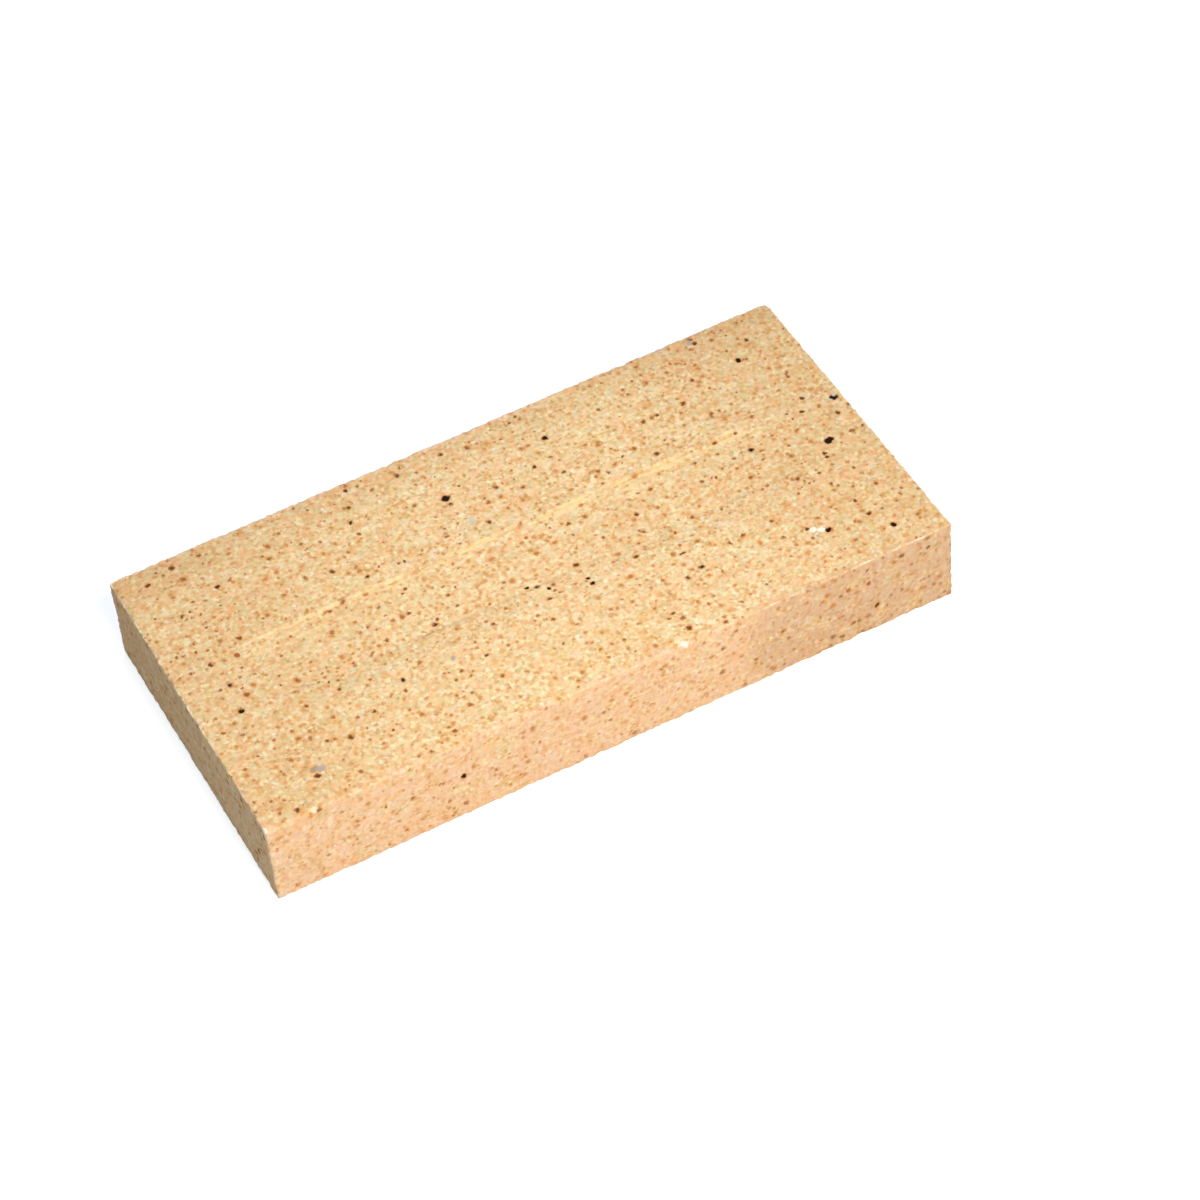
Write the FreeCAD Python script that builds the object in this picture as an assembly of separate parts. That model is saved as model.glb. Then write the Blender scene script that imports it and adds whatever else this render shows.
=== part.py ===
# Refractory firebrick, the thin "split" format: one block of dry-pressed and fired clay.
# Units are millimetres. +X runs along the length, +Y across the width, +Z up.
# The origin is the middle of the lower bed, the face that the brick lies on.
import FreeCAD, Part
import math
import os

# The block, which the die box shapes
BRICK_LENGTH = 230.0
BRICK_WIDTH = 114.0
BRICK_THICKNESS = 32.0
CORNER_RADIUS = 0.9     # the four upright corners of the die box
ARRIS_RADIUS = 0.7      # the worn edge round each bed face

# The shallow panel that the stamp presses into the upper bed, left bare
PANEL_END_MARGIN = 19.0     # from each end of the brick to the mouth of the panel
PANEL_WIDTH = 25.4          # across the mouth
PANEL_CORNER_RADIUS = 9.0   # in plan, at the mouth
PANEL_END_FLAT = 1.0        # least straight run left across each end of the mouth
PANEL_DEPTH = 1.0
PANEL_WALL_ANGLE = 22.0     # degrees that the long walls lean out, so that the stamp lifts clear
PANEL_END_RAMP = 14.0       # length over which the floor runs out to the bed at each end

CUT_OVERRUN = 0.5           # how far a cutting shape stands proud of the face that it cuts
LEVEL_TOLERANCE = 0.001     # an edge that rises less than this runs round a bed

UP = FreeCAD.Vector(0, 0, 1)


def rounded_rectangle(length, width, radius, height):
    """Closed outline centred on the Z axis: four straight runs joined by quarter arcs."""
    half_length = length / 2
    half_width = width / 2
    arc_middle = radius * (1 - math.sqrt(0.5))
    edges = []
    for turn in range(4):
        along, across = (half_length, half_width) if turn % 2 == 0 else (half_width, half_length)
        run_start = FreeCAD.Vector(radius - along, -across, height)
        run_end = FreeCAD.Vector(along - radius, -across, height)
        arc_point = FreeCAD.Vector(along - arc_middle, arc_middle - across, height)
        arc_end = FreeCAD.Vector(along, radius - across, height)
        for edge in (Part.LineSegment(run_start, run_end), Part.Arc(run_end, arc_point, arc_end)):
            shape = edge.toShape()
            shape.rotate(FreeCAD.Vector(0, 0, 0), UP, 90 * turn)
            edges.append(shape)
    return Part.Wire(Part.__sortEdges__(edges))


def pressed_block():
    """The plain brick: an extruded outline with the arris eased round both beds."""
    outline = rounded_rectangle(BRICK_LENGTH, BRICK_WIDTH, CORNER_RADIUS, 0)
    block = Part.Face(outline).extrude(UP * BRICK_THICKNESS)
    arrises = [edge for edge in block.Edges if edge.BoundBox.ZLength < LEVEL_TOLERANCE]
    return block.makeFillet(ARRIS_RADIUS, arrises)


def panel_outline(rise):
    """Outline of the stamp at a height above the upper bed; below the bed, rise is negative."""
    wall_growth = rise * math.tan(math.radians(PANEL_WALL_ANGLE))
    ramp_growth = rise * PANEL_END_RAMP / PANEL_DEPTH
    length = BRICK_LENGTH - 2 * PANEL_END_MARGIN + 2 * ramp_growth
    width = PANEL_WIDTH + 2 * wall_growth
    mouth_radius = min(PANEL_CORNER_RADIUS, (PANEL_WIDTH - PANEL_END_FLAT) / 2)
    return rounded_rectangle(length, width, mouth_radius + wall_growth, BRICK_THICKNESS + rise)


def press_panel(block):
    """Press the stamp into the upper bed: steep long walls, and a floor that runs out at the ends."""
    stamp = Part.makeLoft([panel_outline(-PANEL_DEPTH), panel_outline(CUT_OVERRUN)], True, True)
    return block.cut(stamp).Solids[0]


firebrick = press_panel(pressed_block())
os.makedirs("parts", exist_ok=True)
firebrick.exportStep("parts/firebrick.step")
print(f"firebrick: {firebrick.ShapeType}, valid {firebrick.isValid()}, {len(firebrick.Faces)} faces, "
      f"{firebrick.Volume / 1000:.1f} cubic centimetres")
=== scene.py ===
# %% [markdown]
# # A pressed firebrick, from a CAD block to speckled fired clay
#
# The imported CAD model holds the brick's true size: a flat block with eased arrises and a shallow
# stamp panel in its upper bed. This lesson loads that model as a fixed frame and models the clay
# over it, as one dense mesh with a sandy skin and crumbled arrises, in a procedural material.

# %% Load the fixed frame
import math

import bmesh
import bpy
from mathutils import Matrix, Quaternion, Vector
from mathutils.kdtree import KDTree


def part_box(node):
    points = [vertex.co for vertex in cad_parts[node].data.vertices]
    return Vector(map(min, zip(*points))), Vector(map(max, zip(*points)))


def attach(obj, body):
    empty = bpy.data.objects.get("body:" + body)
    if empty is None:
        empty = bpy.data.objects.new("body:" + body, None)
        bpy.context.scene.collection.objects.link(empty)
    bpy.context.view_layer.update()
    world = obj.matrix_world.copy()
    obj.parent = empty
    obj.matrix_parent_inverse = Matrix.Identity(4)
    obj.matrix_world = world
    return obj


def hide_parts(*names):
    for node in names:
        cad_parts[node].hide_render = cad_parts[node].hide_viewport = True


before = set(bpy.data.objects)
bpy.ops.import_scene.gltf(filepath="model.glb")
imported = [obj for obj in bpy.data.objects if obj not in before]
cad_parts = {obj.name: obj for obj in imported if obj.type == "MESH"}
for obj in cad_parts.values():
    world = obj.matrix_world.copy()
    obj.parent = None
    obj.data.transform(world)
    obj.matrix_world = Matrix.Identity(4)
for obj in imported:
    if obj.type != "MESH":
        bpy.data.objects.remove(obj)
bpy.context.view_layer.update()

MM = 0.001
brick_low, brick_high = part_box("firebrick")
brick_size = brick_high - brick_low
brick_centre = (brick_low + brick_high) / 2
print("CAD brick, mm:", [round(side / MM, 2) for side in brick_size])

# %% [markdown]
# ## Camera
#
# The photograph looks down on the upper bed from beyond the near left corner, through a long lens,
# with the camera rolled a little to the right. A camera can be placed by eye, but a brick has
# straight edges, so fitting its corners gives the direction, the distance and the lens together.

# %% Camera at the photograph's angle
CAMERA_AZIMUTH = math.radians(-23.72)
CAMERA_ELEVATION = math.radians(47.83)
CAMERA_ROLL = math.radians(-5.87)
CAMERA_TARGET = Vector((15.15, -15.02, 16.0)) * MM
CAMERA_DISTANCE = 1232 * MM
CAMERA_LENS = 121.73
CAMERA_SENSOR = 36
CAMERA_SIGHT = 20

bpy.ops.object.select_all(action="DESELECT")
towards_camera = Vector((
    math.sin(CAMERA_AZIMUTH) * math.cos(CAMERA_ELEVATION),
    -math.cos(CAMERA_AZIMUTH) * math.cos(CAMERA_ELEVATION),
    math.sin(CAMERA_ELEVATION),
))
bpy.ops.object.camera_add(location=CAMERA_TARGET + towards_camera * CAMERA_DISTANCE)
camera = bpy.context.object
camera.rotation_mode = "QUATERNION"
level_turn = (-towards_camera).to_track_quat("-Z", "Y")
camera.rotation_quaternion = level_turn @ Quaternion((0, 0, 1), CAMERA_ROLL)
camera.data.lens = CAMERA_LENS
camera.data.sensor_width = CAMERA_SENSOR
camera.data.clip_end = CAMERA_SIGHT
bpy.context.scene.camera = camera
print("camera at, mm:", [round(place / MM) for place in camera.location])

# %% [markdown]
# ## White paper
#
# The brick lies on white paper that shows no edge. Bright lamps could burn the paper out, but they
# would burn the clay out too. Instead the paper is a plain pale grey that glows a little, and Light
# Path lets only the camera and reflections see that glow, so it adds no light to the clay.


# %% Helpers that link nodes
def feed(tree, socket, value):
    """Link an output to a socket, or set the socket to a plain value."""
    if isinstance(value, bpy.types.NodeSocket):
        tree.links.new(value, socket)
    else:
        socket.default_value = value


def calculate(tree, operation, *values):
    """A Math node on numbers or outputs."""
    node = tree.nodes.new("ShaderNodeMath")
    node.operation = operation
    for socket, value in zip(node.inputs, values):
        feed(tree, socket, value)
    return node.outputs[0]


def seen_directly(tree):
    """1 for rays that should meet a plain white ground: from the camera, a gloss or a glass."""
    path = tree.nodes.new("ShaderNodeLightPath")
    seen = calculate(tree, "MAXIMUM", path.outputs["Is Camera Ray"], path.outputs["Is Glossy Ray"])
    return calculate(tree, "MAXIMUM", seen, path.outputs["Is Transmission Ray"])


# %% Paper floor
FLOOR_SPAN = 8.0
PAPER_TONE = (0.58, 0.60, 0.62, 1)
PAPER_GLOW = 0.66

bpy.ops.object.select_all(action="DESELECT")
bpy.ops.mesh.primitive_plane_add(size=FLOOR_SPAN, location=(0, 0, brick_low.z))
floor = bpy.context.object
floor.name = "paper_floor"
paper = bpy.data.materials.new("white_paper")
paper.use_nodes = True
tree = paper.node_tree
paper_surface = tree.nodes["Principled BSDF"]
paper_surface.inputs["Base Color"].default_value = PAPER_TONE
paper_surface.inputs["Roughness"].default_value = 1.0
paper_surface.inputs["Specular IOR Level"].default_value = 0.0
glow = tree.nodes.new("ShaderNodeEmission")
feed(tree, glow.inputs["Strength"], calculate(tree, "MULTIPLY", seen_directly(tree), PAPER_GLOW))
both = tree.nodes.new("ShaderNodeAddShader")
feed(tree, both.inputs[0], paper_surface.outputs[0])
feed(tree, both.inputs[1], glow.outputs[0])
feed(tree, tree.nodes["Material Output"].inputs["Surface"], both.outputs[0])
floor.data.materials.append(paper)
print("floor span, m:", FLOOR_SPAN)

# %% [markdown]
# ## Light
#
# The upper bed and the long near side are lit about equally, and both fade towards the far corners,
# so the lamp is a soft one at arm's length in front. The end at the left gets none of it: it has
# only the cool light of the surround and of the paper. A faint lamp behind keeps the hidden sides
# readable from other angles. Levels are set so that a colour renders about as it is written.

# %% Surround
SURROUND_TONE = (0.93, 1.13, 1.42, 1)
SURROUND_LEVEL = 0.35

world = bpy.data.worlds.new("white_surround")
world.use_nodes = True
tree = world.node_tree
dim_sky = tree.nodes["Background"]
dim_sky.inputs["Color"].default_value = SURROUND_TONE
dim_sky.inputs["Strength"].default_value = SURROUND_LEVEL
white_sky = tree.nodes.new("ShaderNodeBackground")
white_sky.inputs["Color"].default_value = (1, 1, 1, 1)
either_sky = tree.nodes.new("ShaderNodeMixShader")
feed(tree, either_sky.inputs[0], seen_directly(tree))
feed(tree, either_sky.inputs[1], dim_sky.outputs[0])
feed(tree, either_sky.inputs[2], white_sky.outputs[0])
feed(tree, tree.nodes["World Output"].inputs["Surface"], either_sky.outputs[0])
bpy.context.scene.world = world
print("surround level:", SURROUND_LEVEL)

# %% Lamps
LAMP_PLACE = Vector((-0.03, -0.75, 0.84))
LAMP_AIM = Vector((0.01, -0.03, 0.03))
LAMP_ACROSS = 0.36
LAMP_LEVEL = 0.888
LAMP_TONE = (0.98, 0.953, 0.825)
BACK_LAMP_FROM = Vector((0.55, 0.65, 0.52)).normalized()
BACK_LAMP_LEVEL = 0.22
BACK_LAMP_SPREAD = math.radians(20)


def add_lamp(kind, place, aim):
    """A lamp at a place, turned to shine at a point."""
    bpy.ops.object.light_add(type=kind, location=place)
    lamp = bpy.context.object
    lamp.rotation_mode = "QUATERNION"
    lamp.rotation_quaternion = (place - aim).to_track_quat("Z", "Y")
    lamp.visible_camera = False
    return lamp.data


soft_lamp = add_lamp("AREA", LAMP_PLACE, LAMP_AIM)
soft_lamp.shape = "DISK"
soft_lamp.size = LAMP_ACROSS
soft_lamp.color = LAMP_TONE
soft_lamp.energy = LAMP_LEVEL * (math.pi * (LAMP_PLACE - LAMP_AIM).length) ** 2
back_lamp = add_lamp("SUN", BACK_LAMP_FROM, Vector((0, 0, 0)))
back_lamp.energy = BACK_LAMP_LEVEL * math.pi
back_lamp.angle = BACK_LAMP_SPREAD
bpy.context.scene.view_settings.view_transform = "Standard"
print("soft lamp, W:", round(soft_lamp.energy, 2))

# %% [markdown]
# ## The block
#
# The die box fills with damp clay and a plunger presses it into one block. The mesh starts as a
# cube at the CAD size. It could be remeshed into voxels, but cutting its edges into equal pieces
# keeps the rows square to the arrises, so that an arris stays one clean line of points until it
# is chipped on purpose.

# %% Cube cut into coarse squares
COARSE_SQUARE = 1.8 * MM

bpy.ops.object.select_all(action="DESELECT")
bpy.ops.mesh.primitive_cube_add(size=1, location=brick_centre, scale=brick_size)
brick = bpy.context.object
brick.name = "fired_brick"
brick.data.name = "fired_brick"
bpy.ops.object.transform_apply(location=True, rotation=True, scale=True)


def cut_edges_along(axis, pieces):
    """Cut each edge that runs along one axis into equal pieces."""
    bpy.ops.mesh.select_mode(type="EDGE")
    bpy.ops.mesh.select_all(action="DESELECT")
    cage = bmesh.from_edit_mesh(brick.data)
    for edge in cage.edges:
        run = edge.verts[1].co - edge.verts[0].co
        edge.select_set(abs(run[axis]) > 0.5 * run.length)
    bmesh.update_edit_mesh(brick.data)
    bpy.ops.mesh.subdivide(number_cuts=pieces - 1)


bpy.ops.object.mode_set(mode="EDIT")
for axis in range(3):
    squares = brick_size[axis] / COARSE_SQUARE
    first_pieces = round(math.sqrt(squares))
    cut_edges_along(axis, first_pieces)
    cut_edges_along(axis, round(squares / first_pieces))
bpy.ops.object.mode_set(mode="OBJECT")
print("coarse squares:", len(brick.data.polygons))

# %% [markdown]
# Only the middle of the bed that the brick lies on keeps these coarse squares, because nobody sees
# it. All the rest is cut once more. Faces are selected in code by their place, as a box selection
# would by hand.

# %% Finer squares on the faces that show
LOWER_BED_RIM = 6 * MM


def select_faces(test):
    """In edit mode, select the faces that pass a test of their middle and normal."""
    bpy.ops.mesh.select_mode(type="FACE")
    bpy.ops.mesh.select_all(action="DESELECT")
    cage = bmesh.from_edit_mesh(brick.data)
    for face in cage.faces:
        face.select_set(test(face.calc_center_median(), face.normal))
    bmesh.update_edit_mesh(brick.data)


def insets(place):
    """How far a point lies inside the block's six faces: the least of each axis, smallest first."""
    return sorted(min(place[axis] - brick_low[axis], brick_high[axis] - place[axis]) for axis in range(3))


bpy.ops.object.mode_set(mode="EDIT")
select_faces(lambda middle, normal: normal.z > -0.5 or insets(middle)[1] < LOWER_BED_RIM)
bpy.ops.mesh.subdivide(number_cuts=1)
bpy.ops.object.mode_set(mode="OBJECT")
print("squares:", len(brick.data.polygons))

# %% [markdown]
# ## Room for the stamp panel
#
# A stamp presses a shallow panel into the upper bed, with steep long walls. A wall needs a row of
# points at its lip and another at its foot, or it smears over a whole square. Cutting new rows
# would leave slivers, so the nearest row is slid sideways to each line instead.

# %% Rows of points at the lip and foot of the panel walls
PANEL_HALF_WIDTH = 12.7 * MM
PANEL_HALF_LENGTH = 96.0 * MM
PANEL_CORNER = 9.0 * MM
PANEL_DEPTH = 1.0 * MM
PANEL_WALL_ANGLE = math.radians(22)
WALL_RUN = PANEL_DEPTH * math.tan(PANEL_WALL_ANGLE)
TOUCH = 0.01 * MM


def on_upper_bed(place):
    """Whether a point of the plain block lies on its upper face."""
    return place.z > brick_high.z - TOUCH


def slide_row(line, may_take):
    """Slide the nearest row of the upper bed's points that it may take to the line y = line."""
    bpy.ops.mesh.select_mode(type="VERT")
    bpy.ops.mesh.select_all(action="DESELECT")
    cage = bmesh.from_edit_mesh(brick.data)
    bed = [vertex for vertex in cage.verts if on_upper_bed(vertex.co)]
    rows = [vertex.co.y for vertex in bed if may_take(vertex.co.y)]
    row = min(rows, key=lambda y: abs(y - line))
    for vertex in bed:
        vertex.select_set(abs(vertex.co.y - row) < TOUCH)
    bmesh.update_edit_mesh(brick.data)
    bpy.ops.transform.translate(value=(0, line - row, 0))
    return line - row


wall_middle = PANEL_HALF_WIDTH - WALL_RUN / 2
bpy.ops.object.mode_set(mode="EDIT")
for side in (1, -1):
    lip_slide = slide_row(side * PANEL_HALF_WIDTH, lambda y: side * y > wall_middle)
    foot_slide = slide_row(side * (PANEL_HALF_WIDTH - WALL_RUN), lambda y: side * y < wall_middle)
    print("rows slid by, mm:", round(lip_slide / MM, 2), round(foot_slide / MM, 2))
bpy.ops.object.mode_set(mode="OBJECT")

# %% [markdown]
# The arrises turn within a millimetre, and the panel's corners run across the squares, so the
# squares there are cut a third time.

# %% Finest squares along the arrises and the panel's corners
ARRIS_BAND = 2.2 * MM
CORNER_BAND = 1.2 * MM


def beyond_panel(place):
    """How far a point of the upper bed lies outside the mouth of the panel; inside is negative."""
    past_length = abs(place.x) - PANEL_HALF_LENGTH + PANEL_CORNER
    past_width = abs(place.y) - PANEL_HALF_WIDTH + PANEL_CORNER
    corner = math.hypot(max(past_length, 0), max(past_width, 0))
    return corner + min(max(past_length, past_width), 0) - PANEL_CORNER


def needs_finest(middle, normal):
    """Whether a face lies along an arris or along a rounded corner of the panel."""
    at_panel_end = abs(middle.x) > PANEL_HALF_LENGTH - PANEL_CORNER - CORNER_BAND
    at_corner = at_panel_end and normal.z > 0.5 and abs(beyond_panel(middle)) < CORNER_BAND
    return at_corner or insets(middle)[1] < ARRIS_BAND


bpy.ops.object.mode_set(mode="EDIT")
select_faces(needs_finest)
bpy.ops.mesh.subdivide(number_cuts=1)
bpy.ops.object.mode_set(mode="OBJECT")
print("squares after the last cut:", len(brick.data.polygons))

# %% [markdown]
# ## Eased arrises and the stamp panel
#
# The CAD solid already has the eased arrises and the panel. Rather than model them again, two
# Shrinkwrap modifiers lay the dense mesh on that solid. The points over the panel drop straight
# down into it, because the nearest point of the solid would often be the lip, and the rest go to
# the nearest point.

# %% Lay the mesh on the CAD solid
panel_group = brick.vertex_groups.new(name="over_panel")
over_panel = [
    vertex.index for vertex in brick.data.vertices
    if on_upper_bed(vertex.co) and beyond_panel(vertex.co) < -TOUCH
]
panel_group.add(over_panel, 1.0, "REPLACE")


def wrap_on_solid(name, method):
    """A Shrinkwrap modifier onto the CAD brick."""
    modifier = brick.modifiers.new(name, "SHRINKWRAP")
    modifier.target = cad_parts["firebrick"]
    modifier.wrap_method = method
    modifier.vertex_group = panel_group.name
    return modifier


drop = wrap_on_solid("drop_into_panel", "PROJECT")
drop.use_project_z = True
drop.use_positive_direction = False
drop.use_negative_direction = True
drop.project_limit = 2 * PANEL_DEPTH
bpy.ops.object.modifier_apply(modifier=drop.name)
ease = wrap_on_solid("ease_arrises", "NEAREST_SURFACEPOINT")
ease.invert_vertex_group = True
bpy.ops.object.modifier_apply(modifier=ease.name)
panel_floor = min(brick.data.vertices[index].co.z for index in over_panel)
print("panel depth, mm:", round((brick_high.z - panel_floor) / MM, 2))

# %% [markdown]
# ## Knocked corner
#
# The far corner of the upper bed has been knocked blunt. Proportional editing does what the knock
# did: the tip goes in the most, and the clay round it follows less and less.

# %% One blunt corner
KNOCK = 0.3 * MM
KNOCK_REACH = 2.2 * MM

bpy.ops.object.mode_set(mode="EDIT")
bpy.ops.mesh.select_mode(type="VERT")
bpy.ops.mesh.select_all(action="DESELECT")
cage = bmesh.from_edit_mesh(brick.data)
tip = min(cage.verts, key=lambda vertex: (vertex.co - brick_high).length)
tip.select_set(True)
bmesh.update_edit_mesh(brick.data)
bpy.ops.transform.translate(
    value=(-KNOCK, -KNOCK, -KNOCK), use_proportional_edit=True,
    proportional_edit_falloff="SMOOTH", proportional_size=KNOCK_REACH)
bpy.ops.object.mode_set(mode="OBJECT")
print("corner knocked in, mm:", KNOCK / MM)

# %% [markdown]
# ## Crumbled arrises
#
# The arris is the weakest place of a brick, and grains fall out of it in handling. Displace
# modifiers can bite it away by a noise texture. Pushing along the normals would turn the small
# round of the arris inside out, so each face's rim is pushed straight in along one axis, and an
# arris, which belongs to two rims, goes in diagonally. A vertex group holds the weights: full on
# the arris and nothing a few millimetres away.

# %% Noise textures and the push
def cloud_texture(name, wavelength, detail):
    """Soft legacy noise for the Displace modifier."""
    texture = bpy.data.textures.new(name, "CLOUDS")
    texture.noise_scale = wavelength
    texture.noise_depth = detail
    return texture


def set_ramp(texture, dark_until, pale_from):
    """Make a texture black up to one level and white from another."""
    texture.use_color_ramp = True
    ramp = texture.color_ramp.elements
    ramp[0].position = dark_until
    ramp[0].color = (0, 0, 0, 1)
    ramp[1].position = pale_from
    ramp[1].color = (1, 1, 1, 1)
    return texture


def press_in(name, texture, depth, group="", direction="NORMAL"):
    """Push the skin in by up to depth where the texture is dark; white stays where it is."""
    modifier = brick.modifiers.new(name, "DISPLACE")
    modifier.texture = texture
    modifier.texture_coords = "LOCAL"
    modifier.mid_level = 1.0
    modifier.strength = depth
    modifier.vertex_group = group
    modifier.direction = direction
    bpy.ops.object.modifier_apply(modifier=name)


# %% Crumble and chips
RIM_REACH = 2.6 * MM
RIM_FALLOFF = 1.5
CRUMB_SIZE = 1.7 * MM
CRUMB_DEPTH = 0.36 * MM
CHIP_SIZE = 6.5 * MM
CHIP_DEPTH = 0.5 * MM


def weigh_rim(axis, corner):
    """A vertex group for the rim of one face of the block, heaviest on its arrises."""
    group = brick.vertex_groups.new(name="rim")
    for vertex in brick.data.vertices:
        from_arris = insets(vertex.co)[1]
        if from_arris < RIM_REACH and abs(vertex.co[axis] - corner[axis]) < RIM_REACH:
            group.add([vertex.index], (1 - from_arris / RIM_REACH) ** RIM_FALLOFF, "REPLACE")
    return group.name


crumble = set_ramp(cloud_texture("crumble", CRUMB_SIZE, detail=2), dark_until=0.25, pale_from=0.66)
chips = set_ramp(cloud_texture("chips", CHIP_SIZE, detail=2), dark_until=0.15, pale_from=0.36)
for axis, letter in enumerate("XYZ"):
    for corner, outward in ((brick_low, -1), (brick_high, 1)):
        rim = weigh_rim(axis, corner)
        press_in("crumble", crumble, outward * CRUMB_DEPTH, rim, letter)
        press_in("chips", chips, outward * CHIP_DEPTH, rim, letter)
print("crumbled block, mm:", [round(side / MM, 2) for side in brick.dimensions])

# %% [markdown]
# The near lip of the panel has worn down: the photograph shows no step there. The bed in front of it
# is pushed down, most at the lip itself, by a slow noise that leaves a little of the step standing.

# %% Worn near lip of the panel
LIP_REACH = 8.0 * MM
LIP_WEAR = 1.0 * MM
LIP_TAPER = 12.0 * MM
LIP_WAVE = 6.0 * MM

worn_lip = brick.vertex_groups.new(name="worn_lip")
for vertex in brick.data.vertices:
    before_lip = -PANEL_HALF_WIDTH - vertex.co.y
    from_end = PANEL_HALF_LENGTH - PANEL_CORNER - abs(vertex.co.x)
    on_bed = vertex.co.z > brick_high.z - PANEL_DEPTH / 2
    if on_bed and from_end > 0 and -WALL_RUN / 2 < before_lip < LIP_REACH:
        share = 1 - max(before_lip, 0) / LIP_REACH
        worn_lip.add([vertex.index], share * min(from_end / LIP_TAPER, 1), "REPLACE")
lip_wear = set_ramp(cloud_texture("lip_wear", LIP_WAVE, detail=2), dark_until=0.48, pale_from=1.0)
press_in("lip_wear", lip_wear, LIP_WEAR, worn_lip.name, "Z")
print("near lip worn by up to, mm:", LIP_WEAR / MM)

# %% [markdown]
# ## The largest grains
#
# A few grains are large enough to know this brick by: black spots of melted iron, white flint and
# grey stone. Random ones would fall anywhere, so each of these is placed where the photograph shows
# it, by its centre and size in millimetres. The dark ones have shrunk in the fire and sit in dents.
# A vertex group holds the dents, so that one Displace modifier makes them all.

# %% Places of the large grains
GRAIN_DEPTH = 3.0

# Tone, place along X and Y, size along X and Y
bed_grains = (
    ("black", -11.3, 34.0, 3.2, 3.2),
    ("black", 26.7, 40.8, 2.8, 2.4),
    ("black", 94.3, 38.7, 2.4, 2.4),
    ("black", 111.6, 8.8, 3.2, 3.0),
    # The next two blue grey spots are a painted highlight: glints on the black grain before them
    ("blue grey", 112.2, 9.8, 1.5, 1.4),
    ("blue grey", 110.2, 8.4, 1.3, 1.2),
    ("black", 100.5, -7.0, 3.0, 2.8),
    ("black", 101.6, -6.4, 2.6, 2.4),
    ("rust", 109.0, -6.8, 2.6, 2.0),
    ("brown", 102.9, 13.4, 1.6, 1.6),
    ("brown", 100.0, 8.5, 1.7, 1.6),
    ("brown", 96.8, -12.3, 1.6, 1.6),
    ("black", 78.8, 3.4, 2.5, 2.2),
    ("white", 78.0, -36.6, 2.8, 2.2),
    ("white", 79.9, -37.9, 2.8, 2.2),
    ("black", 81.8, -38.9, 2.4, 2.4),
    ("brown", 76.6, -35.4, 1.5, 1.4),
    ("grey", 77.9, -39.4, 1.6, 1.4),
    ("black", 99.7, -47.2, 2.4, 2.4),
    ("brown", 35.8, -1.9, 2.2, 2.2),
    ("brown", 39.7, -24.2, 2.6, 1.2),
    ("black", 10.8, -18.0, 1.5, 1.5),
    ("black", 10.8, -20.8, 1.7, 1.7),
    ("black", -6.7, -11.4, 1.8, 1.5),
    ("black", -1.2, -15.3, 1.5, 1.5),
    ("black", -101.2, -11.2, 2.4, 2.4),
    ("tan", -92.4, -42.7, 3.4, 2.8),
    ("grey", -90.6, -43.2, 3.6, 3.0),
    ("brown", -92.5, -45.2, 2.4, 1.8),
    ("blue grey", -8.7, 21.3, 3.0, 2.8),
    ("rust", -93.2, 9.3, 2.2, 2.2),
    ("brown", -104.7, 49.5, 2.0, 2.0),
    ("brown", -36.3, 53.0, 1.8, 1.8),
    ("grey", 85.0, 53.6, 2.6, 2.2),
    ("brown", 86.4, 52.6, 1.6, 1.6),
    ("grey", -38.5, -25.3, 1.8, 2.0),
    ("brown", -29.5, -29.5, 1.6, 1.6),
    ("brown", 18.2, 31.5, 1.6, 1.6),
    ("rust", -27.8, -6.6, 1.8, 1.8),
    ("white", -114.6, -55.8, 2.4, 2.4),
    ("cream", -98.8, -56.0, 3.0, 1.8),
    ("white", 22.8, -56.2, 2.8, 1.8),
)
# Tone, place along X and Z, size along X and Z
side_grains = (
    ("black", -52.0, 17.5, 2.2, 2.6),
    ("rust", 85.3, 22.1, 1.8, 2.0),
    ("brown", 88.1, 10.4, 2.0, 2.4),
    ("rust", 106.2, 26.1, 1.8, 2.0),
)
large_grains = [
    (tone, Vector((x, y, brick_high.z / MM)), Vector((long / 2, wide / 2, GRAIN_DEPTH)))
    for tone, x, y, long, wide in bed_grains
]
large_grains += [
    (tone, Vector((x, brick_low.y / MM, z)), Vector((long / 2, GRAIN_DEPTH, high / 2)))
    for tone, x, z, long, high in side_grains
]
print("large grains:", len(large_grains))

# %% Dents of the dark grains
DARK_GRAINS = ("black", "brown")
DENT_DEPTH = 0.9 * MM
GRIT_SIZE = 0.8 * MM


def weigh_dents():
    """A vertex group that is full in the middle of each dark grain and fades to its rim."""
    group = brick.vertex_groups.new(name="dents")
    points = KDTree(len(brick.data.vertices))
    for vertex in brick.data.vertices:
        points.insert(vertex.co / MM, vertex.index)
    points.balance()
    for tone, centre, half_size in large_grains:
        if tone in DARK_GRAINS:
            for place, index, distance in points.find_range(centre, max(half_size)):
                offset = place - centre
                reach = sum((offset[axis] / half_size[axis]) ** 2 for axis in range(3))
                group.add([index], max(1 - reach, 0), "REPLACE")
    return group.name


press_in("dents", cloud_texture("grit", GRIT_SIZE, detail=1), DENT_DEPTH, weigh_dents())
print("dents up to, mm:", DENT_DEPTH / MM)

# %% [markdown]
# ## Sandy skin
#
# Crushed fired clay in the mix leaves the pressed faces a little uneven: slow waves, lumps of a
# few millimetres, a sandy tooth and the odd pit where a grain fell out. The same modifier does this
# along the normals. It only ever pushes inwards, so the brick never grows out of its CAD size.

# %% Press the uneven faces in
# Name, wavelength, detail and depth
SKIN_LAYERS = (
    ("slow_waves", 45 * MM, 1, 0.25 * MM),
    ("lumps", 5 * MM, 2, 0.22 * MM),
    ("sandy_tooth", 1.9 * MM, 1, 0.26 * MM),
)
PIT_SPACING = 8 * MM
PIT_REACH = 0.16
PIT_DEPTH = 0.45 * MM
ROUND_BELOW = math.radians(60)


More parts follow.
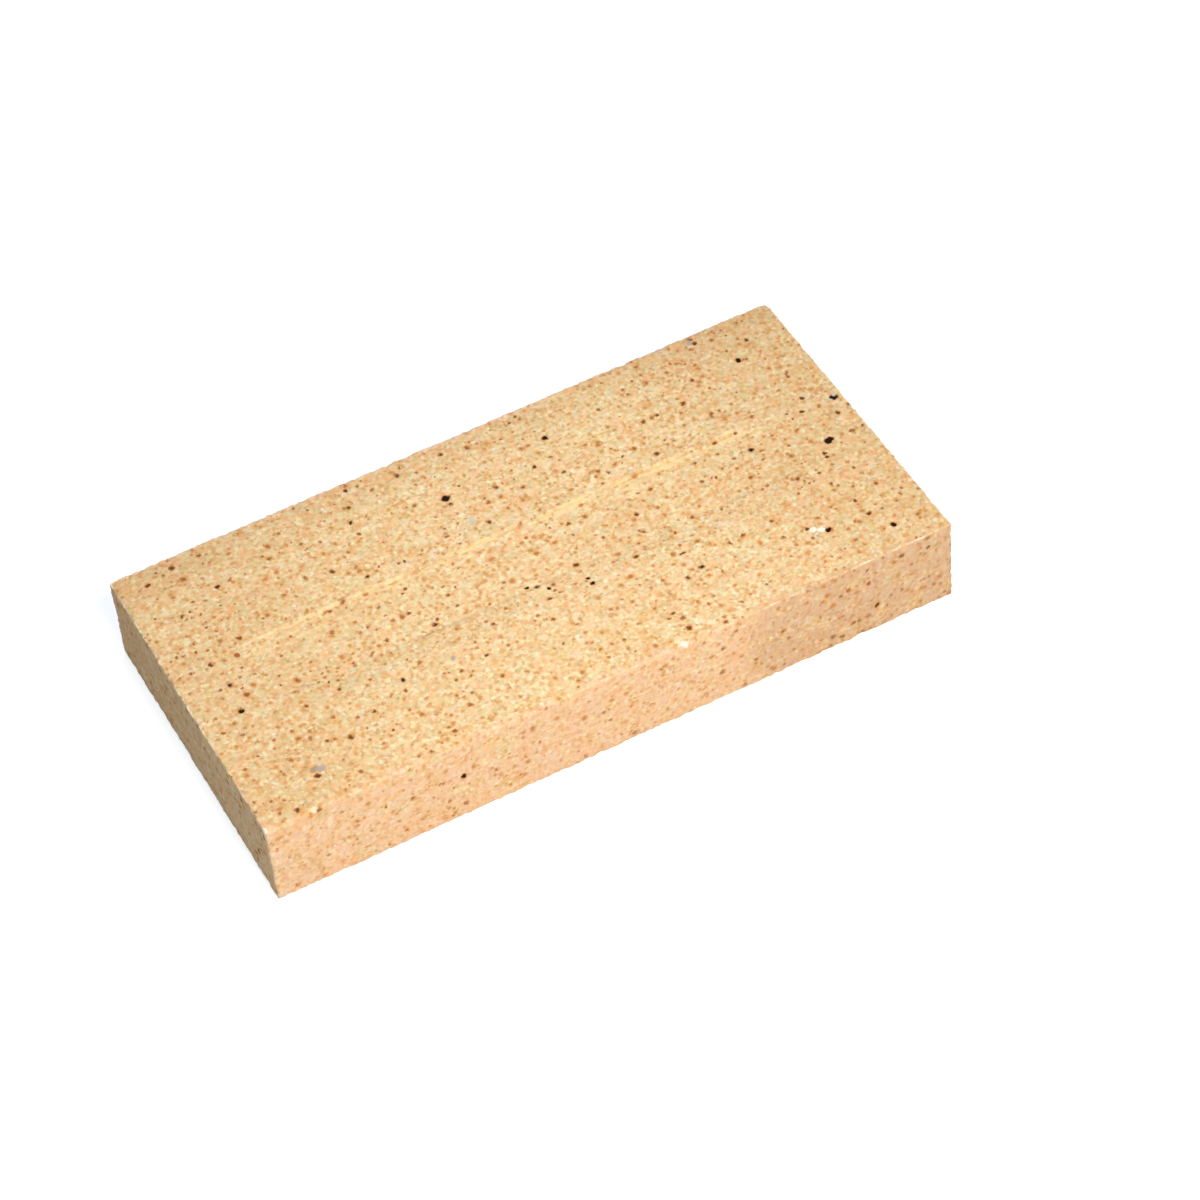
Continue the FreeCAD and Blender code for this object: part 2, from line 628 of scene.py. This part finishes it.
def pit_texture(name, spacing, reach):
    """Dark round spots on a pale ground, one in each Voronoi cell that the surface cuts."""
    texture = bpy.data.textures.new(name, "VORONOI")
    texture.noise_scale = spacing
    return set_ramp(texture, dark_until=0.3 * reach, pale_from=reach)


for name, wavelength, detail, depth in SKIN_LAYERS:
    press_in(name, cloud_texture(name, wavelength, detail), depth)
press_in("pits", pit_texture("pits", PIT_SPACING, PIT_REACH), PIT_DEPTH)
bpy.ops.object.shade_smooth_by_angle(angle=ROUND_BELOW)
print("skin lies within, mm:", [round(side / MM, 2) for side in brick.dimensions])
triangles = sum(len(face.vertices) - 2 for face in brick.data.polygons)
print("triangles:", triangles)

# %% [markdown]
# ## Node groups for grains
#
# The body is a mosaic of crushed grains, and the same few effects come back at several sizes, so
# they are node groups with named sockets. All are solid textures: a grain carries on round an
# arris, as it does in a real block. Places are in millimetres, so a size in the shader is the size
# on the brick.

# %% Helpers for shader trees
VECTOR = "NodeSocketVector"
NUMBER = "NodeSocketFloat"


def vector_math(tree, operation, *values, output=0):
    """A Vector Math node on vectors or outputs."""
    node = tree.nodes.new("ShaderNodeVectorMath")
    node.operation = operation
    for socket, value in zip(node.inputs, values):
        feed(tree, socket, value)
    return node.outputs[output]


def scale(tree, vector, factor):
    """A vector times a number."""
    node = tree.nodes.new("ShaderNodeVectorMath")
    node.operation = "SCALE"
    feed(tree, node.inputs[0], vector)
    feed(tree, node.inputs["Scale"], factor)
    return node.outputs[0]


def fade(tree, value, start, end, first=0.0, last=1.0):
    """A smooth step from first to last, as value goes from start to end."""
    node = tree.nodes.new("ShaderNodeMapRange")
    node.interpolation_type = "SMOOTHSTEP"
    names = ("Value", "From Min", "From Max", "To Min", "To Max")
    for name, given in zip(names, (value, start, end, first, last)):
        feed(tree, node.inputs[name], given)
    return node.outputs["Result"]


def noise(tree, place, wavelength, detail=2.0, output="Fac"):
    """Soft noise whose blobs are about one wavelength apart."""
    node = tree.nodes.new("ShaderNodeTexNoise")
    feed(tree, node.inputs["Vector"], place)
    feed(tree, node.inputs["Scale"], calculate(tree, "DIVIDE", 1.0, wavelength))
    node.inputs["Detail"].default_value = detail
    return node.outputs[output]


def wander(tree, place, wavelength, detail, reach):
    """Soft noise from minus half the reach to plus half of it, to make a straight limit crooked."""
    return calculate(tree, "MULTIPLY_ADD", noise(tree, place, wavelength, detail), reach, -reach / 2)


def crooked(tree, place, wavelength, reach):
    """Places shaken by noise, so that what is drawn at them gets a rough outline."""
    three_noises = noise(tree, place, wavelength, detail=1.0, output="Color")
    shake = vector_math(tree, "SUBTRACT", three_noises, (0.5, 0.5, 0.5))
    return vector_math(tree, "ADD", place, scale(tree, shake, reach))


def cells(tree, place, spacing):
    """Voronoi cells: the distance from each cell's point in mm, and three random numbers a cell.

    The cell's own colour is also the place of its point, so a flat face would cut only cells of like
    colours. White noise shuffles it once more.
    """
    node = tree.nodes.new("ShaderNodeTexVoronoi")
    feed(tree, node.inputs["Vector"], place)
    feed(tree, node.inputs["Scale"], calculate(tree, "DIVIDE", 1.0, spacing))
    shuffle = tree.nodes.new("ShaderNodeTexWhiteNoise")
    feed(tree, shuffle.inputs["Vector"], node.outputs["Color"])
    picks = tree.nodes.new("ShaderNodeSeparateColor")
    feed(tree, picks.inputs[0], shuffle.outputs["Color"])
    return calculate(tree, "MULTIPLY", node.outputs["Distance"], spacing), list(picks.outputs)


def new_group(name, inputs, outputs):
    """An empty shader node group with named sockets."""
    group = bpy.data.node_groups.new(name, "ShaderNodeTree")
    for socket_name, kind in inputs:
        group.interface.new_socket(name=socket_name, in_out="INPUT", socket_type=kind)
    for socket_name, kind in outputs:
        group.interface.new_socket(name=socket_name, in_out="OUTPUT", socket_type=kind)
    return group, group.nodes.new("NodeGroupInput").outputs, group.nodes.new("NodeGroupOutput").inputs


# %% Packed grains, scattered grains and one lone grain
def roughened(tree, place, size, wavelength_share, reach_share):
    """Places shaken in proportion to the size of the grains that are drawn at them."""
    wavelength = calculate(tree, "MULTIPLY", size, wavelength_share)
    reach = calculate(tree, "MULTIPLY", size, reach_share)
    return crooked(tree, place, wavelength, reach)


def build_packed_grains():
    """Grains that fill the clay: how light and of what kind each is, fading to 0.5 at its rim."""
    group, given, result = new_group(
        "packed_grains",
        [("Place", VECTOR), ("Spacing", NUMBER)],
        [("Lightness", NUMBER), ("Kind", NUMBER)],
    )
    shaken = roughened(group, given["Place"], given["Spacing"], wavelength_share=0.5, reach_share=0.7)
    distance, picks = cells(group, shaken, given["Spacing"])
    core = fade(group, calculate(group, "DIVIDE", distance, given["Spacing"]), start=0.9, end=0.3)
    for name, pick in (("Lightness", picks[0]), ("Kind", picks[1])):
        from_mean = calculate(group, "SUBTRACT", pick, 0.5)
        feed(group, result[name], calculate(group, "MULTIPLY_ADD", from_mean, core, 0.5))
    return group


def build_scattered_grains():
    """Separate grains: a mask of them, one of the halos round them, and a random number for each."""
    group, given, result = new_group(
        "scattered_grains",
        [("Place", VECTOR), ("Spacing", NUMBER), ("Share", NUMBER), ("Radius", NUMBER)],
        [("Mask", NUMBER), ("Halo", NUMBER), ("Kind", NUMBER)],
    )
    shaken = roughened(group, given["Place"], given["Radius"], wavelength_share=1.3, reach_share=1.5)
    distance, picks = cells(group, shaken, given["Spacing"])
    holds_grain = calculate(group, "LESS_THAN", picks[0], given["Share"])
    growth = fade(group, picks[1], start=0, end=1, first=0.6, last=1.3)
    radius = calculate(group, "MULTIPLY", given["Radius"], growth)
    reach = calculate(group, "DIVIDE", distance, radius)
    for name, start, end in (("Mask", 0.35, 1.1), ("Halo", 0.7, 1.7)):
        inside = fade(group, reach, start, end, first=1.0, last=0.0)
        feed(group, result[name], calculate(group, "MULTIPLY", inside, holds_grain))
    feed(group, result["Kind"], picks[2])
    return group


def build_lone_grain():
    """A mask of one grain at a given centre, with its own half sizes, and one of its halo."""
    group, given, result = new_group(
        "lone_grain",
        [("Place", VECTOR), ("Centre", VECTOR), ("Half Size", VECTOR)],
        [("Mask", NUMBER), ("Halo", NUMBER)],
    )
    offset = vector_math(group, "SUBTRACT", given["Place"], given["Centre"])
    offset = vector_math(group, "DIVIDE", offset, given["Half Size"])
    reach = vector_math(group, "LENGTH", offset, output="Value")
    for name, start, end in (("Mask", 0.6, 1.1), ("Halo", 0.8, 1.5)):
        feed(group, result[name], fade(group, reach, start, end, first=1.0, last=0.0))
    return group


packed_grains = build_packed_grains()
scattered_grains = build_scattered_grains()
lone_grain = build_lone_grain()
print("node groups:", [group.name for group in bpy.data.node_groups])

# %% [markdown]
# ## Ground of the clay
#
# Fired clay is no flat buff: every grain has burnt to its own tone, from orange-tan through cream
# to pale yellow, and fine dust blurs their outlines. Packed grains at three sizes and a soft noise
# for the dust are added up and looked up in a ramp of those tones.
# A second random number shifts the hue of some grains, to orange or pink at one end of its range
# and to grey or olive at the other. Colours are written as they look on screen.

# %% The clay's material and helpers for its colours
clay = bpy.data.materials.new("speckled_fireclay")
clay.use_nodes = True
tree = clay.node_tree
surface = tree.nodes["Principled BSDF"]
coordinates = tree.nodes.new("ShaderNodeTexCoord")
place = scale(tree, coordinates.outputs["Object"], 1 / MM)


def paint(red, green, blue):
    """A colour as it looks on screen, 0 to 255, made linear for the shader."""
    channels = [level / 255 for level in (red, green, blue)]
    linear = [c / 12.92 if c <= 0.04045 else ((c + 0.055) / 1.055) ** 2.4 for c in channels]
    return (*linear, 1.0)


def tone_ramp(value, stops):
    """Look up a colour along a row of stops: a position from 0 to 1 and a colour each."""
    node = tree.nodes.new("ShaderNodeValToRGB")
    elements = node.color_ramp.elements
    for index, (position, tone) in enumerate(stops):
        element = elements[index] if index < 2 else elements.new(position)
        element.position = position
        element.color = tone
    feed(tree, node.inputs["Fac"], value)
    return node.outputs["Color"]


def mix_colour(share, under, over, blend="MIX"):
    """Lay one colour over another by a share between 0 and 1."""
    node = tree.nodes.new("ShaderNodeMix")
    node.data_type = "RGBA"
    node.blend_type = blend
    feed(tree, node.inputs[0], share)
    feed(tree, node.inputs[6], under)
    feed(tree, node.inputs[7], over)
    return node.outputs[2]


def use_group(group, at=place, **values):
    """Place a node group in the clay material with its own values."""
    node = tree.nodes.new("ShaderNodeGroup")
    node.node_tree = group
    feed(tree, node.inputs["Place"], at)
    for name, value in values.items():
        feed(tree, node.inputs[name.replace("_", " ")], value)
    return node.outputs


print("material:", clay.name)

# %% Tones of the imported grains
DUST_SIZE = 1.2
DUST_WEIGHT = 0.34
GROUND_TONES = (
    (0.18, paint(206, 150, 94)),
    (0.34, paint(230, 182, 126)),
    (0.50, paint(244, 206, 153)),
    (0.65, paint(251, 220, 170)),
    (0.82, paint(255, 236, 194)),
)

coarse = use_group(packed_grains, Spacing=2.7)
middling = use_group(packed_grains, Spacing=1.35)
fine = use_group(packed_grains, Spacing=0.75)
dust = fade(tree, noise(tree, place, DUST_SIZE, detail=1), start=0.28, end=0.72)
lightness = calculate(tree, "MULTIPLY", dust, DUST_WEIGHT)
for packed, weight in ((coarse, 0.14), (middling, 0.46), (fine, 0.06)):
    lightness = calculate(tree, "MULTIPLY_ADD", packed["Lightness"], weight, lightness)
colour = tone_ramp(lightness, GROUND_TONES)
print("clay nodes with the ground:", len(tree.nodes))

# %% Hues of single grains
# Grains, tone at the low end of their kinds, tone at the high end, and how strong both are
KIND_TONES = (
    (coarse, paint(250, 194, 142), paint(232, 208, 156), 0.45),
    (middling, paint(250, 188, 138), paint(230, 212, 162), 0.45),
)
for packed, low_tone, high_tone, share in KIND_TONES:
    for tone, start, end in ((low_tone, 0.40, 0.25), (high_tone, 0.60, 0.75)):
        shift = fade(tree, packed["Kind"], start, end, first=0, last=share)
        colour = mix_colour(shift, colour, tone)
print("clay nodes with the hues:", len(tree.nodes))

# %% [markdown]
# ## Streaks
#
# The plunger drags the clay a little along the length, which leaves faint orange streaks. Noise that
# is stretched along X gives them.

# %% Faint streaks along the length
STREAK_STRETCH = (0.05, 1.0, 1.0)
STREAK_WIDTH = 3.5
STREAK_TONE = paint(230, 180, 118)

apart = tree.nodes.new("ShaderNodeSeparateXYZ")
feed(tree, apart.inputs[0], place)
along, across, up = apart.outputs
stretched = vector_math(tree, "MULTIPLY", place, STREAK_STRETCH)
bands = noise(tree, stretched, STREAK_WIDTH, detail=2)
streaks = fade(tree, bands, start=0.50, end=0.72, first=0, last=0.30)
colour = mix_colour(streaks, colour, STREAK_TONE)
print("clay nodes with the streaks:", len(tree.nodes))

# %% [markdown]
# ## Rubbed sides
#
# The sides of the brick slide along the die box, which smears a thin patchy skin over their grains.
# It is pinkish on the long sides. The masks come from noise and from how far a place lies inside the
# faces of the block, so they follow its edges and need no painting by hand.

# %% Skin on the sides
LONG_SIDE_SKIN = paint(246, 198, 159)
END_SKIN = paint(248, 217, 175)
PINK_TINT = (1.0, 0.88, 0.97, 1)
PINK_SHARE = 0.4

from_middle = vector_math(tree, "ABSOLUTE", vector_math(tree, "SUBTRACT", place, brick_centre / MM))
inset = tree.nodes.new("ShaderNodeSeparateXYZ")
feed(tree, inset.inputs[0], vector_math(tree, "SUBTRACT", brick_size / 2 / MM, from_middle))
inset_x, inset_y, inset_z = inset.outputs
waver = wander(tree, place, wavelength=5.0, detail=3, reach=8.0)
on_side = fade(tree, calculate(tree, "ADD", inset_y, waver), start=2.8, end=-0.2)
on_end = fade(tree, calculate(tree, "ADD", inset_x, waver), start=1.6, end=-0.6)
for mask, skin, share in ((on_side, LONG_SIDE_SKIN, 0.44), (on_end, END_SKIN, 0.5)):
    colour = mix_colour(calculate(tree, "MULTIPLY", mask, share), colour, skin)
pinkness = calculate(tree, "MULTIPLY", on_side, PINK_SHARE)
colour = mix_colour(pinkness, colour, PINK_TINT, "MULTIPLY")
print("clay nodes with the rubbed sides:", len(tree.nodes))

# %% [markdown]
# ## Scattered grains
#
# Ironstone burns brown to black and fine sand stays orange, while pale flint and grog show as
# cream spots. Each family is one more use of the same group. A random number for each grain picks
# its tone, so that a few are dark and most are only tan. Iron also stains the clay round it, so the
# dark families have a rusty halo. The ironstone comes last, and its darkest grains leave pits.

# %% Tones of flint, sand and ironstone
PALE_TONES = (
    (0.0, paint(252, 224, 170)),
    (0.75, paint(255, 234, 186)),
    (0.92, paint(246, 230, 198)),
    (1.0, paint(226, 214, 190)),
)
SAND_TONES = (
    (0.0, paint(232, 174, 110)),
    (0.5, paint(218, 152, 88)),
    (0.85, paint(190, 118, 60)),
    (1.0, paint(148, 86, 44)),
)
IRON_TONES = (
    (0.0, paint(216, 152, 86)),
    (0.40, paint(190, 122, 62)),
    (0.70, paint(154, 92, 44)),
    (0.90, paint(114, 66, 30)),
    (1.0, paint(70, 40, 22)),
)
HALO_TONE = paint(232, 160, 94)
print("tones:", len(PALE_TONES) + len(SAND_TONES) + len(IRON_TONES))

# %% Specks of flint, sand and ironstone
# Spacing, share of the cells that hold a grain, radius, tones, and how strong the halo is
FAMILIES = (
    (2.2, 0.50, 0.70, PALE_TONES, 0.0),
    (2.0, 0.48, 0.70, SAND_TONES, 0.20),
    (3.0, 0.34, 0.90, IRON_TONES, 0.45),
)
under_skin = calculate(tree, "MAXIMUM", on_side, on_end)
bareness = fade(tree, under_skin, start=0, end=1, first=1.0, last=0.64)
for spacing, share, radius, tones, halo in FAMILIES:
    family = use_group(scattered_grains, Spacing=spacing, Share=share, Radius=radius)
    colour = mix_colour(calculate(tree, "MULTIPLY", family["Halo"], halo), colour, HALO_TONE)
    cover = calculate(tree, "MULTIPLY", family["Mask"], bareness)
    colour = mix_colour(cover, colour, tone_ramp(family["Kind"], tones))
ironstone = family
darkest = fade(tree, ironstone["Kind"], start=0.5, end=0.7)
dark_pits = calculate(tree, "MULTIPLY", ironstone["Mask"], darkest)
print("clay nodes with the specks:", len(tree.nodes))

# %% [markdown]
# ## Stains and painted shade
#
# Iron stains the clay in some places and leaves it paler in others. Painted shade darkens both ends
# and the far edge of the upper bed, where the light falls off, and the upper, rear part of each end.
# The right part of the long sides is darker too. These are slow changes over all the grains, so they
# are multiplied onto the colour.

# %% Iron stains and paler places
STAIN_SIZE = 3.4
STAIN_SHARE = 0.9
RUSTY_TINT = (0.98, 0.90, 0.78, 1)
PALER_TINT = (1.0, 1.02, 1.14, 1)

stain = noise(tree, place, STAIN_SIZE, detail=1)
for tint, start, end in ((RUSTY_TINT, 0.52, 0.74), (PALER_TINT, 0.48, 0.28)):
    stained = fade(tree, stain, start, end, first=0, last=STAIN_SHARE)
    colour = mix_colour(stained, colour, tint, "MULTIPLY")
print("clay nodes with the stains:", len(tree.nodes))

# %% Painted shade on the ends and the far edge, and a darker right side
PAINTED_SHADE_TINT = (0.79, 0.72, 0.65, 1)
RIGHT_SIDE_TINT = (0.80, 0.78, 0.76, 1)
SHADE_EDGE_WAVE = 18
SHADE_EDGE_RAGGEDNESS = 24.0

shade_edge_noise = noise(tree, place, SHADE_EDGE_WAVE, detail=2)
ragged = calculate(tree, "MULTIPLY_ADD", shade_edge_noise, SHADE_EDGE_RAGGEDNESS, along)
right_end = fade(tree, ragged, start=48, end=130, first=0, last=0.48)
left_end = fade(tree, ragged, start=-10, end=-110, first=0, last=0.44)
far_edge = fade(tree, across, start=34, end=58, first=0, last=0.4)
rear = fade(tree, across, start=-50, end=50, first=0, last=0.6)
upper = fade(tree, up, start=4, end=30, first=0, last=0.25)
far_end = calculate(tree, "MULTIPLY", calculate(tree, "ADD", rear, upper), on_end)
painted_shade = calculate(tree, "ADD", calculate(tree, "ADD", right_end, left_end), far_edge)
painted_shade = calculate(tree, "ADD", painted_shade, far_end)
painted_shade_share = calculate(tree, "MULTIPLY", painted_shade, fade(tree, on_side, start=1, end=0))
right_part = fade(tree, ragged, start=48, end=68, first=0, last=0.8)
darker_right_side = calculate(tree, "MULTIPLY", right_part, on_side)
# Painted shade: darker towards both ends and the far edge, and on the upper, rear part of each end
colour = mix_colour(painted_shade_share, colour, PAINTED_SHADE_TINT, "MULTIPLY")
# The right part of the long sides is darker
colour = mix_colour(darker_right_side, colour, RIGHT_SIDE_TINT, "MULTIPLY")
print("clay nodes with the burnt ends:", len(tree.nodes))

# %% [markdown]
# The large grains have their tones laid on where their dents are. Shaking the places first, by a
# slow noise and a quick one, gives every grain a rough outline. All the halos come first, so that
# none of them falls on a neighbour's grain.

# %% Tones of the large grains
# Colour, and how fully it covers the clay
GRAIN_TONES = {
    "black": (paint(40, 20, 11), 1.0),
    "brown": (paint(96, 56, 28), 0.95),
    "rust": (paint(168, 86, 38), 0.9),
    "tan": (paint(164, 134, 98), 0.8),
    "grey": (paint(178, 162, 158), 0.85),
    # Blue grey grains, and the painted glints on one black grain
    "blue grey": (paint(204, 204, 194), 0.75),
    "cream": (paint(255, 232, 192), 0.85),
    "white": (paint(255, 244, 222), 0.95),
}
HALO_SHARE = 0.5

bent_place = crooked(tree, place, wavelength=1.5, reach=1.1)
rough_place = crooked(tree, bent_place, wavelength=0.6, reach=0.5)
drawn_grains = [
    (name, use_group(lone_grain, at=rough_place, Centre=centre, Half_Size=half_size))
    for name, centre, half_size in large_grains
]
for name, grain in drawn_grains:
    if name in DARK_GRAINS:
        colour = mix_colour(calculate(tree, "MULTIPLY", grain["Halo"], HALO_SHARE), colour, HALO_TONE)
for name, grain in drawn_grains:
    tone, cover = GRAIN_TONES[name]
    colour = mix_colour(calculate(tree, "MULTIPLY", grain["Mask"], cover), colour, tone)
print("clay nodes with the large grains:", len(tree.nodes))

# %% [markdown]
# ## Worn arrises and painted highlight
#
# Handling rubs the arrises of the beds, which show here and there as a broken pale line. The line is
# partly pale worn clay and partly a painted highlight where the arris catches the lamp. A place
# lies on an arris when it is close to two faces at once, so the mask takes the middle one of its
# three distances to the faces.

# %% Pale line on the arrises
WORN_AND_HIGHLIGHT_TONE = paint(255, 238, 202)
NIBBLE_SIZE = 1.5
NIBBLE_REACH = 1.6
GAP_SPACING = 9

nearest = calculate(tree, "MINIMUM", inset_x, inset_y)
farther = calculate(tree, "MAXIMUM", inset_x, inset_y)
from_arris = calculate(tree, "MAXIMUM", nearest, calculate(tree, "MINIMUM", farther, inset_z))
nibbles = noise(tree, place, NIBBLE_SIZE, detail=2)
nibbled = calculate(tree, "MULTIPLY_ADD", nibbles, NIBBLE_REACH, from_arris)
gaps = noise(tree, place, GAP_SPACING, detail=2)
broken = fade(tree, gaps, start=0.36, end=0.52, first=0.0, last=0.85)
at_left = fade(tree, along, start=-110, end=-113)
at_rear = fade(tree, across, start=-40, end=0)
left_far = calculate(tree, "MULTIPLY", at_left, at_rear)
at_right = fade(tree, along, start=30, end=58, first=0.2, last=1.0)
rubbed_and_lit = calculate(tree, "MAXIMUM", at_right, left_far)
rubbed_and_lit = calculate(tree, "MULTIPLY", rubbed_and_lit, broken)
rubbed_and_lit = calculate(tree, "MULTIPLY", rubbed_and_lit, fade(tree, inset_z, start=8, end=2))
worn_and_highlight = calculate(tree, "MULTIPLY", fade(tree, nibbled, start=2.0, end=1.1), rubbed_and_lit)
# Painted highlight and pale worn clay on the arrises
colour = mix_colour(worn_and_highlight, colour, WORN_AND_HIGHLIGHT_TONE)
print("clay nodes with the worn arrises:", len(tree.nodes))

# %% [markdown]
# ## The stamped panel
#
# The stamp drags the far wall smooth and pale in long stretches. Between them the clay stuck, and
# the wall is rough. The whole wall also carries painted shade, a darker and cooler tint that offsets
# the stronger light it catches. A few pale smears lie on the floor of the panel beside it.

# %% Far wall of the panel
WALL_STRETCH = (0.5, 1.0, 1.0)
WALL_RAGGEDNESS = 1.8
WALL_SHADE_TINT = (0.82, 0.84, 0.90, 1)
SMOOTH_WALL_TONE = paint(252, 224, 170)

from_line = calculate(tree, "SUBTRACT", across, wall_middle / MM)
on_top = fade(tree, up, start=29.0, end=30.0)
not_end = fade(tree, calculate(tree, "ABSOLUTE", along), start=94, end=84)
stamped = calculate(tree, "MULTIPLY", on_top, not_end)
sway = wander(tree, place, wavelength=7, detail=2, reach=2.4)
off_line = calculate(tree, "ABSOLUTE", calculate(tree, "ADD", from_line, sway))
tears = noise(tree, place, wavelength=2.2, detail=2)
ragged_line = calculate(tree, "MULTIPLY_ADD", tears, WALL_RAGGEDNESS, off_line)
dragged = vector_math(tree, "MULTIPLY", place, WALL_STRETCH)
stretches = noise(tree, dragged, wavelength=6, detail=2)
wall = calculate(tree, "MULTIPLY", fade(tree, ragged_line, start=1.75, end=0.75), stamped)
# Painted shade: the wall darker and cooler than the bed
colour = mix_colour(wall, colour, WALL_SHADE_TINT, "MULTIPLY")
smoothness = fade(tree, stretches, start=0.42, end=0.58, first=0.1, last=0.9)
smooth_wall = calculate(tree, "MULTIPLY", wall, smoothness)
colour = mix_colour(smooth_wall, colour, SMOOTH_WALL_TONE)
print("clay nodes with the far wall:", len(tree.nodes))

# %% Smears beside the far wall
SMEAR_STRETCH = (0.16, 1.0, 1.0)
SMEAR_TONE = paint(253, 224, 166)

beside_wall = fade(tree, across, start=3, end=10)
inside = calculate(tree, "MULTIPLY", fade(tree, from_line, start=0.5, end=-0.8), beside_wall)
inside = calculate(tree, "MULTIPLY", inside, stamped)
drawn = vector_math(tree, "MULTIPLY", place, SMEAR_STRETCH)
smear_noise = noise(tree, drawn, wavelength=2.0, detail=1)
smears = fade(tree, smear_noise, start=0.50, end=0.66, first=0.0, last=0.6)
colour = mix_colour(calculate(tree, "MULTIPLY", inside, smears), colour, SMEAR_TONE)
print("clay nodes with the smears:", len(tree.nodes))

# %% [markdown]
# ## Fired clay
#
# The skin is dull and rough. It is a little smoother where the die box or the stamp has rubbed it,
# and on the melted spots of iron. The ground's lightness doubles as a height, because the pale
# grains stand a hair prouder than the softer clay between them, and dark grains have often fallen
# out.

# %% Surface of the clay
DULL_ROUGHNESS = 0.94
RUBBED_ROUGHNESS = 0.84
MELTED_CHANGE = -0.2
SPECULAR = 0.08
BUMP_HEIGHT = 0.12 * MM
BUMP_STRENGTH = 0.5
TOOTH_SIZE = 0.5
PIT_HEIGHT = -0.6

feed(tree, surface.inputs["Base Color"], colour)
rubbed_skin = calculate(tree, "MAXIMUM", under_skin, smooth_wall)
roughness = fade(tree, rubbed_skin, start=0, end=1, first=DULL_ROUGHNESS, last=RUBBED_ROUGHNESS)
roughness = calculate(tree, "MULTIPLY_ADD", dark_pits, MELTED_CHANGE, roughness)
feed(tree, surface.inputs["Roughness"], roughness)
surface.inputs["Specular IOR Level"].default_value = SPECULAR
bump = tree.nodes.new("ShaderNodeBump")
bump.inputs["Strength"].default_value = BUMP_STRENGTH
bump.inputs["Distance"].default_value = BUMP_HEIGHT
height = calculate(tree, "ADD", lightness, noise(tree, place, TOOTH_SIZE, detail=2))
height = calculate(tree, "MULTIPLY_ADD", dark_pits, PIT_HEIGHT, height)
feed(tree, bump.inputs["Height"], height)
feed(tree, surface.inputs["Normal"], bump.outputs["Normal"])
brick.data.materials.append(clay)
print("clay nodes:", len(tree.nodes))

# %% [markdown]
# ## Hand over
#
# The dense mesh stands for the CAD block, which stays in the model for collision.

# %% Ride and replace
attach(brick, "root")
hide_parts("firebrick")
